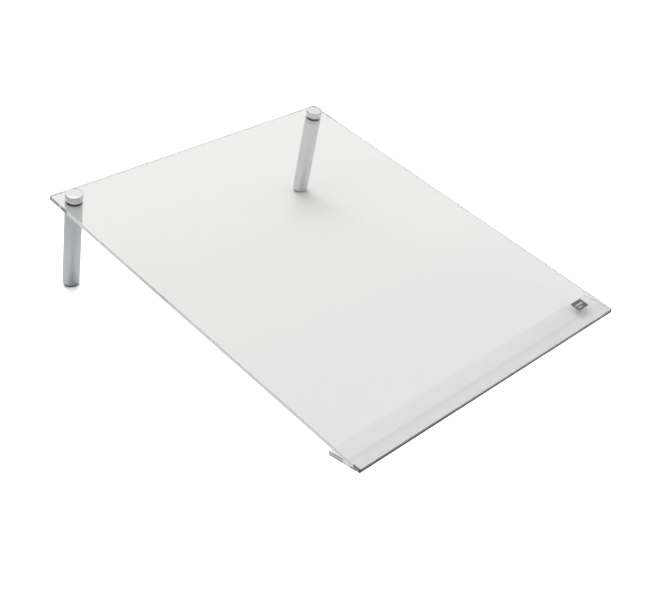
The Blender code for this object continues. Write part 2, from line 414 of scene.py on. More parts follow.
def make_strip_clear():
    """The strip's clear faces, with painted shade: greyer up the cemented part, by so much a metre,
    and at the right.
    """
    finish = new_finish("strip_acrylic")
    across, up = sheet_place(finish, 0.0)[:2]
    cemented = 1 - finish.steps(up, JOINT_END - JOINT_SOFT, JOINT_END + JOINT_SOFT)
    right = finish.band(across, RIGHT_RISE, RIGHT_FALL)
    # Painted shade: the tint greys up the cemented part and near the right end.
    grey = (cemented * (CEMENT_SHADE_RISE * up - CEMENT_SHADE_LESS)
            + RIGHT_SHADE * right * (1 - HIDDEN_BY_CEMENT * cemented))
    return finish.show(clear_face(finish, finish.blend(grey, STRIP_TINT, BLACK)))


def make_strip_rear():
    """The strip's rear face, which bends no light."""
    finish = new_finish("strip_rear")
    return finish.show(let_lamps_through(finish, finish.principled(
        Base_Color=STRIP_TINT, Roughness=HAZE_ROUGHNESS * finish.speckle(HAZE_SIZE),
        IOR=1.0, Transmission_Weight=1.0)))


STRIP_CLEAR = make_strip_clear()
STRIP_REAR = make_strip_rear()

# %% [markdown]
# ## Polished edges
# The edge draws the outline of a clear sheet. It is half frosted, because the polishing wheel leaves
# haze. The photograph shows it black by the cemented joint and grey by the legs, most likely as a
# mirror of what is near. Here two masks paint those tones on as painted reflection and shade, at
# fixed places along the edge. One mixes in a dark shader, the other greys the tone. Unlike mirror
# images, they don't move with the viewer, so they are true to this view and a guess from others.

# %% A polished edge
EDGE_CLARITY = 0.5
EDGE_TONES = (colour(0.66, 0.675, 0.67), colour(0.76, 0.775, 0.77))
# EDGE_GREY is the grey of the painted reflection.
EDGE_GREY = colour(0.24, 0.245, 0.245)
SAW_SIZE, EDGE_ROUGHNESS, SAW_ROUGHNESS = 0.0012, 0.12, 0.08
PAINTED_DARK_ROUGHNESS, PAINTED_DARK_SHINE = 0.3, 0.2


def polished_edge(name, turned, tones_of, dark_tone):
    """A sawn and polished edge.

    tones_of gives two numbers from 0 to 1: how dark painted shade and reflection make the edge by
    the cemented joint, and how grey painted reflection makes it elsewhere.
    """
    finish = new_finish(name)
    saw = finish.speckle(SAW_SIZE)
    painted_dark, grey = tones_of(finish, *sheet_place(finish, turned))
    tone = finish.blend(grey, finish.blend(saw, *EDGE_TONES), EDGE_GREY)
    clear = finish.principled(
        Base_Color=tone, Roughness=EDGE_ROUGHNESS + SAW_ROUGHNESS * saw,
        IOR=ACRYLIC_IOR, Transmission_Weight=EDGE_CLARITY)
    # A dark shader for painted shade and reflection, mixed in by the painted_dark mask.
    dark = finish.principled(Base_Color=dark_tone, Roughness=PAINTED_DARK_ROUGHNESS,
                             Specular_IOR_Level=PAINTED_DARK_SHINE)
    return finish.show(let_lamps_through(finish, finish.mixed(painted_dark, clear, dark)))


# %% How dark the board's edge is
# Places and strengths of the painted shade and reflection that darken the board's edge.
FRONT_DEPTH, FRONT_LOW_PART = (0.0003, 0.0007), (0.0024, 0.0030)
FRONT_DARK, FRONT_DARK_LOST, FRONT_FADE = 0.94, 0.09, (-0.06, 0.05)
END_DARK, ARRIS_DARKER, CORNER_DARKER = 0.35, 0.25, 0.40
ARRIS, END_DEPTH = (0.0033, 0.0037), (0.0010, 0.0016)
RIGHT_END = (SIDE_REACH - 0.0160, SIDE_REACH - 0.0090)
RIGHT_CORNER = (SIDE_REACH - 0.0044, SIDE_REACH - 0.0024)
SIDE_SKIN = (SIDE_REACH - 0.0014, SIDE_REACH - 0.0009)
LEFT_DARK, LEFT_LENGTH = 0.84, (0.0058, 0.0066)
STRIPE, STRIPE_PALER = ((0.0013, 0.0017), (0.0021, 0.0026)), 0.30


def board_darkness(finish, across, up, out):
    """Painted shade and reflection: dark low on the front edge, at its right end, and for 6 mm of
    the left side but for a stripe.

    Formula: each of the three masks covers its share of what the ones before it leave light.
    """
    low_front = (1 - finish.steps(up, *FRONT_DEPTH)) * (1 - finish.steps(out, *FRONT_LOW_PART))
    low_front = low_front * (FRONT_DARK - FRONT_DARK_LOST * finish.steps(across, *FRONT_FADE))
    right_end = ((END_DARK + ARRIS_DARKER * finish.steps(out, *ARRIS))
                 * finish.steps(across, *RIGHT_END)
                 + CORNER_DARKER * finish.steps(across, *RIGHT_CORNER))
    right_end = right_end * (1 - finish.steps(up, *END_DEPTH))
    left_side = finish.steps(-1.0 * across, *SIDE_SKIN) * (1 - finish.steps(up, *LEFT_LENGTH))
    left_side = left_side * (LEFT_DARK - STRIPE_PALER * finish.band(out, *STRIPE))
    return low_front + (1 - low_front) * (right_end + (1 - right_end) * left_side)


# %% How grey the board's edge is
# Places and strengths of the painted reflection that greys the board's edge.
LEG_GREY, LEG_LENGTH = 0.9, (0.0245, 0.0275)
GAP, GAP_PALER = ((0.0140, 0.0150), (0.0175, 0.0185)), 0.75
FRONT_GREY, FRONT_GREYER, GREYER_RISE = 0.20, 0.40, (-0.12, 0.10)


def board_tones(finish, across, up, out):
    """Painted shade and reflection: how dark and how grey the board's edge is.

    Its sides are grey by the legs, with a lighter gap in that grey, and its front is grey all
    along, more so to the right.
    """
    front = 1 - finish.steps(up, *FRONT_DEPTH)
    from_rear = SHEET_LENGTH - up
    by_leg = (1 - finish.steps(from_rear, *LEG_LENGTH)) * (
        1 - GAP_PALER * finish.band(from_rear, *GAP))
    side = finish.steps(across * across, *[place ** 2 for place in SIDE_SKIN])
    grey = LEG_GREY * side * by_leg + front * (
        FRONT_GREY + FRONT_GREYER * finish.steps(across, *GREYER_RISE))
    return board_darkness(finish, across, up, out), grey


# %% Tones of the strip's ends
# Places and strengths of the painted shade and reflection on the strip's ends.
NOSE_DARK, NOSE_LENGTH = 0.82, (0.0080, 0.0088)
OUTLINE_DARK, REAR_GREY, REAR_START = 0.60, 0.50, (0.0155, 0.0165)
RIGHT_PALER, RIGHT_HALF = 0.6, (-0.05, 0.05)
OUTLINE_REAR, OUTLINE_HEIGHTS = (0.0010, 0.0005), ((0.0009, 0.0015), (0.0030, 0.0035))


def strip_tones(finish, across, up, out):
    """Painted shade and reflection: dark at each end's nose, grey with a dark outline towards the
    rear.
    """
    nose = 1 - finish.steps(up, *NOSE_LENGTH)
    rear = finish.steps(up, *REAR_START) * (1 - RIGHT_PALER * finish.steps(across, *RIGHT_HALF))
    rear_line = corners_of("front_foot_strip")[:, 1].max() - FRONT_LINE[1]
    inside = (1 - finish.steps(up, *[rear_line - inset for inset in OUTLINE_REAR])) * (
        finish.band(out, *OUTLINE_HEIGHTS))
    return NOSE_DARK * nose + OUTLINE_DARK * rear * (1 - inside), REAR_GREY * rear


# The last colour of each edge is the tone of its painted shade and reflection.
ACRYLIC_EDGE = polished_edge("acrylic_edge", SLOPE, board_tones, colour(0.055, 0.058, 0.058))
STRIP_EDGE = polished_edge("strip_edge", 0.0, strip_tones, colour(0.095, 0.100, 0.100))

# %% [markdown]
# ## Satin aluminium and steel
# The legs were turned on a lathe, blasted with fine beads and anodised. That leaves a soft grey sheen
# with a very fine grain and faint rings from the tool. The rings follow a measure that every turned
# piece carries in its UV map: how far along the profile a point lies. Noise on that one number is
# the same all the way round, so there is no seam. In the photograph one bar and one cap differ a
# little in light and shade from the other leg's. No cause was found, so their change of tone is
# painted: painted shade on the bar, and painted light and shade on the cap.

# %% Rings left by the lathe
def lathe_rings(finish, pitch):
    """Noise along the turned profile: the same all the way round, and lumps of this pitch."""
    lathe = finish.node("ShaderNodeUVMap", {"uv_map": "lathe"}).outputs[0]
    return finish.value("ShaderNodeTexNoise", {"noise_dimensions": "1D"},
                        {"W": finish.split(lathe)[1] * (1.0 / pitch), "Scale": 1.0,
                         "Detail": 2.0, "Roughness": 0.6})


# %% Turned metal
BEAD_SIZE, CLOUD_SIZE = 0.00022, 0.012
CLOUD_SHARE, RING_SHARE, BEAD_SHARE = 0.5, 0.3, 0.2
RING_ROUGHNESS, CLOUD_ROUGHNESS = 0.06, 0.05


def turned_metal(name, dark, light, roughness, ring_pitch, ring_height, grain, shaded=None):
    """Bare metal with lathe rings, a fine grain and slight changes of tone.

    shaded may paint shade and light into the tone by the place beside the sheet.
    """
    finish = new_finish(name)
    rings = lathe_rings(finish, ring_pitch)
    beads = finish.speckle(BEAD_SIZE)
    clouds = finish.speckle(CLOUD_SIZE)
    tone = finish.blend(CLOUD_SHARE * clouds + RING_SHARE * rings + BEAD_SHARE * beads, dark, light)
    if shaded is not None:
        tone = shaded(finish, tone)
    return finish.show(finish.principled(
        Base_Color=tone, Metallic=1.0, Normal=finish.dented(rings * ring_height + beads * grain),
        Roughness=roughness + RING_ROUGHNESS * (rings - 0.5) + CLOUD_ROUGHNESS * clouds))


# %% Painted shade and light on one bar and one cap
FROM_MIDDLE = (0.0, 0.1)
BAR_TOP, BAR_TOP_DARKER = (-0.060, -0.005), 0.14
FACING_OUT = (0.3, 0.8)
CAP_SIDE_LIGHTER, CAP_TOP_DARKER = 0.28, 0.05


def bar_shade(finish, tone):
    """Painted shade: the left hand bar gets a little darker towards its upper end."""
    across, _, out = sheet_place(finish, SLOPE)
    upper_left = finish.steps(out, *BAR_TOP) * finish.steps(-1.0 * across, *FROM_MIDDLE)
    return finish.blend(BAR_TOP_DARKER * upper_left, tone, BLACK)


def cap_shade(finish, tone):
    """Painted light and shade: the right hand cap gets a lighter side and a darker top than the left.
    """
    right = finish.steps(sheet_place(finish, SLOPE)[0], *FROM_MIDDLE)
    facing = finish.along(finish.node("ShaderNodeTexCoord").outputs["Normal"], OUT)
    top = finish.steps(facing, *FACING_OUT)
    tone = finish.blend(CAP_SIDE_LIGHTER * right * (1 - top), tone, WHITE)
    return finish.blend(CAP_TOP_DARKER * right * top, tone, BLACK)


SATIN_ALUMINIUM = turned_metal(
    "satin_aluminium", colour(0.482, 0.502, 0.512), colour(0.580, 0.602, 0.613), roughness=0.34,
    ring_pitch=0.0005, ring_height=0.000004, grain=0.0000015, shaded=bar_shade)
TURNED_CAP = turned_metal(
    "turned_cap", colour(0.506, 0.513, 0.516), colour(0.627, 0.633, 0.635), roughness=0.21,
    ring_pitch=0.0006, ring_height=0.000009, grain=0.0000010, shaded=cap_shade)
ZINC_STEEL = turned_metal(
    "zinc_steel", colour(0.42, 0.42, 0.43), colour(0.60, 0.60, 0.60), roughness=0.36,
    ring_pitch=0.0008, ring_height=0.000004, grain=0.0000020)

# %% [markdown]
# ## Nylon, rubber and ink
# Moulded washers and feet are matt and have no rings, only a fine grain and uneven tones. Pale nylon
# lets some light through, so its shadow rays pass as the sheet's do. The print is a dark ink with
# two plain pale bars, which are masks by place, as no picture is needed for them.

# %% Nylon and rubber
MOULDED_CLOUD_SIZE, MOULDED_IOR, SKIN_ROUGHNESS = 0.004, 1.52, 0.1
MOULDED_CLOUD_SHARE, SKIN_SHARE = 0.6, 0.4


def moulded(name, dark, light, roughness, grain_size, grain, transmission=0.0):
    """A moulded plastic or rubber: a fine matt grain and a slightly uneven tone."""
    finish = new_finish(name)
    skin = finish.speckle(grain_size, detail=3.0)
    clouds = finish.speckle(MOULDED_CLOUD_SIZE)
    shader = finish.principled(
        Base_Color=finish.blend(MOULDED_CLOUD_SHARE * clouds + SKIN_SHARE * skin, dark, light),
        Roughness=roughness + SKIN_ROUGHNESS * (skin - 0.5), IOR=MOULDED_IOR,
        Normal=finish.dented(skin * grain), Transmission_Weight=transmission)
    if transmission > 0.0:
        shader = let_lamps_through(finish, shader)
    return finish.show(shader)


CLEAR_NYLON = moulded(
    "clear_nylon", colour(0.86, 0.87, 0.86), colour(0.93, 0.94, 0.93), roughness=0.28,
    grain_size=0.0004, grain=0.000006, transmission=0.2)
BLACK_RUBBER = moulded(
    "black_rubber", colour(0.005, 0.005, 0.006), colour(0.014, 0.014, 0.015), roughness=0.80,
    grain_size=0.0002, grain=0.000010)
GREY_RUBBER = moulded(
    "grey_rubber", colour(0.090, 0.090, 0.092), colour(0.140, 0.140, 0.143), roughness=0.70,
    grain_size=0.0002, grain=0.000014)


# %% Printing ink
PRINT_LOW = (SIDE_REACH - 0.0294, 0.0154)
PRINT_HIGH = (SIDE_REACH - 0.0147, 0.0253)
BARS_LEFT, BAR_SOFT = PRINT_LOW[0] + 0.0022, 0.00015
LONG_BAR, SHORT_BAR = (0.0103, 0.0048, 0.0065), (0.0062, 0.0020, 0.0033)
INK_TONES = (colour(0.034, 0.034, 0.035), colour(0.052, 0.052, 0.053))
BAR_TONE = colour(0.22, 0.22, 0.218)
INK_GRAIN_SIZE, INK_GRAIN, INK_ROUGHNESS, INK_UNEVEN = 0.0003, 0.000002, 0.30, 0.08


def pale_bar(finish, across, up, length, low, high):
    """1 inside a bar of this length, between two heights above the print's lower edge."""
    right, low, high = BARS_LEFT + length, PRINT_LOW[1] + low, PRINT_LOW[1] + high
    wide = finish.band(across, (BARS_LEFT, BARS_LEFT + BAR_SOFT), (right, right + BAR_SOFT))
    return wide * finish.band(up, (low, low + BAR_SOFT), (high, high + BAR_SOFT))


def make_ink():
    """Dark ink with two plain pale bars, a long one and a short one."""
    finish = new_finish("print_ink")
    across, up = sheet_place(finish, SLOPE)[:2]
    grain = finish.speckle(INK_GRAIN_SIZE)
    bars = pale_bar(finish, across, up, *LONG_BAR) + pale_bar(finish, across, up, *SHORT_BAR)
    return finish.show(finish.principled(
        Base_Color=finish.blend(bars, finish.blend(grain, *INK_TONES), BAR_TONE),
        Roughness=INK_ROUGHNESS + INK_UNEVEN * grain, Normal=finish.dented(grain * INK_GRAIN)))


PRINT_INK = make_ink()

# %% [markdown]
# ## The board sheet
# The real sheet is sawn, its four corners are eased, and its edge is polished to a small round that
# draws a bright line. A box with a Bevel modifier would do for a plain sheet. This one has drilled
# holes, and its faces must stay dead flat, because clear plastic shows every bend of its normals.
# So the edge is a quarter-round profile carried round the outline, the holes are the same idea on a
# circle, and a constrained triangulation fills the flat faces between those loops. A small toe
# makes the front edge stand nearly upright on the desk.

# %% Outline and edge profile
EDGE_ROUND = 0.00035
CORNER_ROUND = 0.001
HOLE_RADIUS = 0.0033
FRONT_TOE = 0.0006
EDGE_STEPS, CORNER_STEPS, HOLE_STEPS = 6, 14, 96


def rounded_outline(low, high, radius, steps):
    """Points and outward directions round a rectangle with round corners, counter-clockwise.

    Formula: each corner is its centre plus radius times (cos a, sin a), while a turns a quarter.
    """
    (x0, y0), (x1, y1) = np.add(low, radius), np.subtract(high, radius)
    centres = np.array(((x1, y0), (x1, y1), (x0, y1), (x0, y0)))
    starts = np.arange(-1, 3)[:, None] * math.pi / 2
    outward = directions((starts + np.linspace(0.0, math.pi / 2, steps + 1)).ravel())
    return np.repeat(centres, steps + 1, axis=0) + radius * outward, outward


def edge_profile(low, high, radius, steps):
    """Inset and height from the lower face round to the upper one.

    Formula: a quarter circle from the face to the side, the side, and a quarter circle back.
    """
    turn = np.linspace(0.0, math.pi / 2, steps + 1)
    lower = np.stack((radius * (1 - np.sin(turn)), low + radius * (1 - np.cos(turn))), axis=-1)
    upper = np.stack((radius * (1 - np.cos(turn)), high - radius * (1 - np.sin(turn))), axis=-1)
    return np.concatenate((lower, upper))


# %% Carry an edge profile round a loop
def rim(loop, outward, profile):
    """Rows of points: loop minus inset times the outward direction, at the profile's heights."""
    inset, height = profile[:, 0], profile[:, 1]
    flat = loop[None] - inset[:, None, None] * outward[None]
    return np.concatenate((flat, np.broadcast_to(height[:, None, None], flat[..., :1].shape)), -1)


def fill_between(outer, holes):
    """Triangles that fill a flat outline around round holes, as numbers into the joined loops.

    A Delaunay triangulation keeps every loop's edges. Triangles whose centre lies in a hole go.
    """
    loops = [outer] + holes
    points = np.concatenate(loops)
    starts = np.cumsum([0] + [len(loop) for loop in loops])
    edges = []
    for start, loop in zip(starts, loops):
        ring = start + np.arange(len(loop))
        edges += np.stack((ring, np.roll(ring, -1)), axis=-1).tolist()
    kept, _, faces, *_ = delaunay_2d_cdt(points.tolist(), edges, [], 1, 1e-7)
    faces = np.array([tuple(face) for face in faces])
    centres = np.array([tuple(p) for p in kept])[faces].mean(1)
    inside = np.zeros(len(faces), dtype=bool)
    for hole in holes:
        middle = hole.mean(0)
        radius = np.linalg.norm(hole - middle, axis=1).min()
        inside |= np.linalg.norm(centres - middle, axis=1) < radius
    return faces[~inside], len(kept) == len(points)


# %% Build the sheet
TOE_WAY = np.array((0.0, -UP_SLOPE[1], -OUT[1]))
NEAR_FRONT = 1.1 * CORNER_ROUND


def make_board():
    """The clear sheet with eased corners, a polished edge and two deburred stud holes.

    Its lower front edge is moved forward along the desk by FRONT_TOE, so the front is nearly upright.
    """
    loop, outward = rounded_outline((-SIDE_REACH, 0.0), (SIDE_REACH, SHEET_LENGTH),
                                    CORNER_ROUND, CORNER_STEPS)
    profile = edge_profile(0.0, SHEET_THICKNESS, EDGE_ROUND, EDGE_STEPS)
    rims = [rim(loop, outward, profile)]
    rims[0][1:EDGE_STEPS + 1, loop[:, 1] < NEAR_FRONT] += FRONT_TOE * TOE_WAY
    circle = directions(full_turn(HOLE_STEPS))
    for side in SIDES:
        rims.append(rim(np.array(AXES[side]) + HOLE_RADIUS * circle, -circle, profile))
    starts = np.cumsum([0] + [r.shape[0] * r.shape[1] for r in rims])
    rows = [start + numbered(r) for start, r in zip(starts, rims)]
    walls = np.concatenate([grid_faces(row) for row in rows])
    faces, clean = fill_between(rims[0][0][:, :2], [r[0][:, :2] for r in rims[1:]])
    below = np.concatenate([row[0] for row in rows])[faces]
    above = np.concatenate([row[-1] for row in rows])[faces]
    points = on_slope(np.concatenate([r.reshape(-1, 3) for r in rims]))
    every = walls.tolist() + below.tolist() + above.tolist()
    finish_of = np.repeat((1, 0), (len(walls), len(below) + len(above)))
    board = closed_piece("clear_board", points, every, (CLEAR_ACRYLIC, ACRYLIC_EDGE), finish_of)
    board.data.polygons.foreach_set("use_smooth", finish_of.astype(bool))
    print("the triangulation kept every point:", clean)
    return board


board = make_board()
board.visible_diffuse = False
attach(board, "root")
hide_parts("board_sheet")

# %% [markdown]
# ## The foot strip
# The strip is cut from the same sheet. Its front part is planed to the slope and cemented under the
# board, so the two sheets part at a shallow V behind the joint. The solids keep a narrow gap for
# the cement, which is closed here. The strip is one section carried across the desk, so its mesh is
# a grid of two rows, and a small Bevel rounds its edges as the polishing wheel does.

# %% Section of the strip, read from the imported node
CEMENT_GAP_CLOSED, REAR_EASE, TOUCHING = 0.00026, 0.0003, 1e-6


def strip_section():
    """The strip's outline seen from the side, as rows y, z.

    The nose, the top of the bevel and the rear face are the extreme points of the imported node.
    """
    points = corners_of("front_foot_strip")[:, 1:]
    y0, z0 = points.min(0)
    y1, z1 = points.max(0)
    top_front = points[points[:, 1] > z1 - TOUCHING][:, 0].min()
    nose_top = points[points[:, 0] < y0 + TOUCHING][:, 1].max()
    section = np.array(((y0, z0), (y1 - REAR_EASE, z0), (y1, z0 + REAR_EASE), (y1, z1 - REAR_EASE),
                        (y1 - REAR_EASE, z1), (top_front, z1), (y0, nose_top)))
    section[5:] += CEMENT_GAP_CLOSED * OUT[1:]
    print("strip section:", section.round(5).tolist())
    return section


# %% Build the strip
STRIP_POLISH, POLISH_ANGLE = 0.00025, math.radians(50.0)


def make_strip():
    """The strip: its section at both ends, joined by a ring of faces, with rounded edges."""
    section = strip_section()
    count = len(section)
    ends = [np.insert(section, 0, x, axis=1) for x in (-SIDE_REACH, SIDE_REACH)]
    sides = grid_faces(np.arange(2 * count).reshape(2, count))
    faces = sides.tolist() + [list(range(count)), list(range(count, 2 * count))]
    # The underside, the three rear faces, the top, bevel and nose, and the two ends.
    finish_of = [0, 2, 2, 2] + [0] * (count - 4) + [1, 1]
    strip = closed_piece("clear_foot_strip", np.concatenate(ends), faces,
                         (STRIP_CLEAR, STRIP_EDGE, STRIP_REAR), finish_of)
    polish = strip.modifiers.new("polished_edges", "BEVEL")
    polish.width, polish.segments, polish.limit_method = STRIP_POLISH, 3, "ANGLE"
    polish.angle_limit = POLISH_ANGLE
    polish.harden_normals = True
    return strip


strip = make_strip()
strip.visible_diffuse = False
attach(strip, "root")
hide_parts("front_foot_strip")

# %% [markdown]
# ## Turned pieces
# Caps, barrels, washers and feet are all turned or moulded round, so each is one profile spun about
# its leg's axis. A Screw modifier would also work. A grid of radius and height against angle gives
# the lathe's UV map for nothing, and the stud's thread can use the same function, with a radius
# that depends on both.

# %% Round the corners of a profile
STRAIGHT = math.radians(89.0)


def eased(profile, radii, steps=5):
    """Replace each inner corner of a polyline of (radius, height) by an arc.

    Formula: the arc touches both legs of the corner at radius times the tangent of half the turn.
    Its points are taken from the two tangent points by turning from one normal to the other.
    """
    profile = np.asarray(profile, dtype=float)
    out = [profile[:1]]
    for before, corner, after, radius in zip(profile, profile[1:], profile[2:], radii):
        inward = (before - corner) / np.linalg.norm(before - corner)
        onward = (after - corner) / np.linalg.norm(after - corner)
        half = math.acos(np.clip(inward @ onward, -1.0, 1.0)) / 2
        if radius <= 0.0 or half > STRAIGHT:
            out.append(corner[None])
            continue
        middle = (inward + onward) / np.linalg.norm(inward + onward)
        centre = corner + middle * radius / math.sin(half)
        first = corner + inward * radius / math.tan(half) - centre
        last = corner + onward * radius / math.tan(half) - centre
        share = np.linspace(0.0, 1.0, steps + 1)[:, None]
        turn = math.pi - 2 * half
        swept = (np.sin((1 - share) * turn) * first + np.sin(share * turn) * last) / math.sin(turn)
        out.append(centre + swept)
    out.append(profile[-1:])
    return np.concatenate(out)


# %% Give a piece a map of one measure
def paint_map(item, name, measure):
    """A UV map whose second number is this measure of each point, for a finish to read."""
    second = measure[read(item.data.loops, "vertex_index", 1, np.int32)]
    both = np.insert(second, 0, 0.0, axis=1)
    item.data.uv_layers.new(name=name).data.foreach_set("uv", both.ravel())


# %% Spin a profile about a leg
SHARP_ANGLE = math.radians(32.0)
NOUGHT = 1e-9


def spun(name, side, profile, finishes, segments=128, radius_of=None):
    """A turned piece on a leg's axis.

    Formula: point (k, j) lies at the profile's radius k times (cos a, sin a) from the axis, at the
    profile's height k, where a is j times a full turn over the number of segments. radius_of may
    change the radius by angle and height. A radius of nought makes a pole of one point, and a
    profile that ends where it starts makes a closed ring.
    """
    length = np.insert(np.cumsum(np.linalg.norm(np.diff(profile, axis=0), axis=1)), 0, 0.0)
    angles = full_turn(segments)
    radius = np.repeat(profile[:, :1], segments, axis=1)
    if radius_of is not None:
        radius = radius_of(radius, profile[:, 1:], angles[None])
    across, up = AXES[side]
    grid = np.stack((across + radius * np.cos(angles), up + radius * np.sin(angles),
                     np.repeat(profile[:, 1:], segments, axis=1)), axis=-1)
    rows = numbered(grid)
    pole = profile[:, 0] < NOUGHT
    rows[pole] = rows[pole][:, :1]
    if (profile[0] == profile[-1]).all():
        rows[-1] = rows[0]
    faces = as_lists(grid_faces(rows))
    used, numbers = np.unique(np.concatenate([np.ravel(face) for face in faces]),
                              return_inverse=True)
    ends = np.cumsum([len(face) for face in faces])[:-1]
    faces = [face.tolist() for face in np.split(numbers, ends)]
    item = closed_piece(name, on_slope(grid.reshape(-1, 3)[used]), faces, finishes)
    paint_map(item, "lathe", np.repeat(length, segments)[used])
    item.data.shade_smooth()
    item.data.set_sharp_from_angle(angle=SHARP_ANGLE)
    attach(item, "root")
    return item


# %% [markdown]
# ### Caps
# The cap is a short disc with a blind tapped hole. Its rounded rim catches the light as a bright
# line in front. Its face falls a little from a ring to the rim, and inside the ring it has a shallow
# dish, as a facing tool leaves. A disc with a Bevel would be a flat mirror of one even tone. The
# solids keep small gaps between them. The real stack is screwed tight, so it is drawn closed here.

# %% Make the caps
def half_width(node):
    """Half the width of a round node."""
    low, high = reach(node, ACROSS)
    return (high - low) / 2


CAP_SEATED, CAP_FULLER = 0.00027, 0.0002
CAP_ROOF, CAP_FOOT_BREAK, CAP_LAND_DROP = 0.0018, 0.0003, 0.0003
CAP_DISH_RADIUS, CAP_DISH_DEPTH, CAP_DISH_STEPS = 0.0054, 0.0001, 8
CAP_ROUNDS = (0.0, 0.0, 0.0001, 0.0001, 0.0005, 0.0003)
for side in SIDES:
    node = "cap_nut_" + side
    base, top = np.add(level(node), (-CAP_SEATED, 0.0))
    radius = half_width(node) + CAP_FULLER
    profile = eased(((0.0, top - CAP_ROOF), (HOLE_RADIUS, top - CAP_ROOF), (HOLE_RADIUS, base),
                     (radius - CAP_FOOT_BREAK, base), (radius, base + CAP_FOOT_BREAK),
                     (radius, top - CAP_LAND_DROP), (CAP_DISH_RADIUS, top), (0.0, top)),
                    CAP_ROUNDS)[:-2]
    inward = np.linspace(1.0, 0.0, CAP_DISH_STEPS + 1)[1:]
    dish = np.stack((CAP_DISH_RADIUS * inward, top - CAP_DISH_DEPTH * (1 - inward ** 2)), axis=-1)
    profile = np.concatenate((profile, dish))
    cap = spun("turned_cap_" + side, side, profile, (TURNED_CAP,))
    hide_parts(node)

# %% [markdown]
# ### Barrels
# A barrel is a plain bar, square to the sheet. Its two end edges are broken, and both ends are
# drilled: above for the stud, below for the stem of the rubber foot. A cylinder would look the same
# from most sides, but the clear sheet lets the eye into the upper bore.

# %% Make the barrels
BARREL_SEATED, BAR_FULLER = 0.00027, 0.0003
BORE_SPARE, BORE_POINT = 0.0004, 0.0020
MOUTH_WIDER, MOUTH_DEPTH = 0.0004, 0.0015
STEM_BORE, STEM_SPARE, STEM_POINT = 0.0025, 0.0004, 0.0015
BARREL_ROUNDS = (0.0, 0.0, 0.0, 0.0001, 0.0002, 0.00045, 0.0001, 0.0)
for side in SIDES:
    node = "leg_barrel_" + side
    base, top = np.add(level(node), (0.0, BARREL_SEATED))
    radius = half_width(node) + BAR_FULLER
    mouth = HOLE_RADIUS + MOUTH_WIDER
    bore_end = level("threaded_stud_" + side)[0] - BORE_SPARE
    stem_end = level("rubber_foot_" + side)[1] + STEM_SPARE
    profile = eased((
        (0.0, bore_end - BORE_POINT), (HOLE_RADIUS, bore_end), (HOLE_RADIUS, top - MOUTH_DEPTH),
        (mouth, top - MOUTH_DEPTH), (mouth, top), (radius, top), (radius, base),
        (STEM_BORE, base), (STEM_BORE, stem_end), (0.0, stem_end + STEM_POINT)), BARREL_ROUNDS)
    barrel = spun("turned_barrel_" + side, side, profile, (SATIN_ALUMINIUM,))
    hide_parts(node)

# %% [markdown]
# ### Washers and feet
# Two washers keep metal off the plastic: pale nylon above and black rubber below, which shows
# through the sheet as a thin dark ring. The foot is a rubber pad with a stem. A torus would be too
# round for a washer, so each ring is a small rectangle with eased corners, spun.

# %% Make the washers
# Kind, finish, rounding, how far it is drawn lower and higher than its solid, and how much slimmer.
WASHERS = (("clear_washer", CLEAR_NYLON, 0.0002, 0.00027, 0.0, -0.0002),
           ("black_washer", BLACK_RUBBER, 0.0003, 0.0, 0.00015, 0.0005))
for side in SIDES:
    for kind, finish, ease, below, above, slimmer in WASHERS:
        node = kind + "_" + side
        base, top = np.add(level(node), (-below, above))
        radius = half_width(node) - slimmer
        middle = (HOLE_RADIUS + radius) / 2
        ring = eased(((middle, base), (radius, base), (radius, top), (HOLE_RADIUS, top),
                      (HOLE_RADIUS, base), (middle, base)), (ease, ease, ease, ease))
        washer = spun("ring_" + kind + "_" + side, side, ring, (finish,))
        "clear_nylon" if kind == "clear_washer" else "black_rubber"
        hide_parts(node)

# %% Make the feet
PAD_HEIGHT, STEM_RADIUS, FOOT_ROUNDS = 0.0012, 0.0022, (0.0003, 0.0001, 0.0002, 0.0004)
for side in SIDES:
    node = "rubber_foot_" + side
    base, tip = level(node)
    radius, pad_top = half_width(node), base + PAD_HEIGHT
    profile = eased(((0.0, base), (radius, base), (radius, pad_top), (STEM_RADIUS, pad_top),
                     (STEM_RADIUS, tip), (0.0, tip)), FOOT_ROUNDS)
    foot = spun("moulded_foot_" + side, side, profile, (GREY_RUBBER,))
    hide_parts(node)

# %% [markdown]
# ### Studs
# The thread of a real M6 stud is a single helix. It could be a profile swept by a Screw modifier,
# but the spinning function does it at once: its radius depends on angle and height, and one ridge
# for each millimetre, moved along by the angle, is a helix.

# %% Make the threaded studs
STUD_RADIUS, STUD_END_RADIUS, STUD_PLAIN_END = 0.003, 0.0022, 0.0006
THREAD_PITCH, THREAD_DEPTH, THREAD_STEPS = 0.001, 0.0006, 10
RIDGE_STEEPNESS, CREST_CUT = 1.6, 0.3


def thread(radius, height, angle):
    """Radius of a threaded rod.

    Formula: the phase is the height over the pitch minus the turn, and the ridge is a triangle wave
    of it with flattened crest and root. Points of the plain ends keep their radius.
    """
    phase = np.mod(height / THREAD_PITCH - angle / math.tau, 1.0)
    ridge = np.clip(RIDGE_STEEPNESS * (1.0 - np.abs(2.0 * phase - 1.0)) - CREST_CUT, 0.0, 1.0)
    return np.where(radius > STUD_END_RADIUS, radius - THREAD_DEPTH * (1.0 - ridge), radius)


for side in SIDES:
    node = "threaded_stud_" + side
    base, top = level(node)
    heights = np.arange(base + STUD_PLAIN_END, top - STUD_PLAIN_END, THREAD_PITCH / THREAD_STEPS)
    rod = np.stack((np.full(len(heights), STUD_RADIUS), heights), axis=-1)
    profile = np.concatenate((((0.0, base), (STUD_END_RADIUS, base)), rod,
                              ((STUD_END_RADIUS, top), (0.0, top))))
    stud = spun("m6_stud_" + side, side, profile, (ZINC_STEEL,), segments=48, radius_of=thread)
    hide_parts(node)

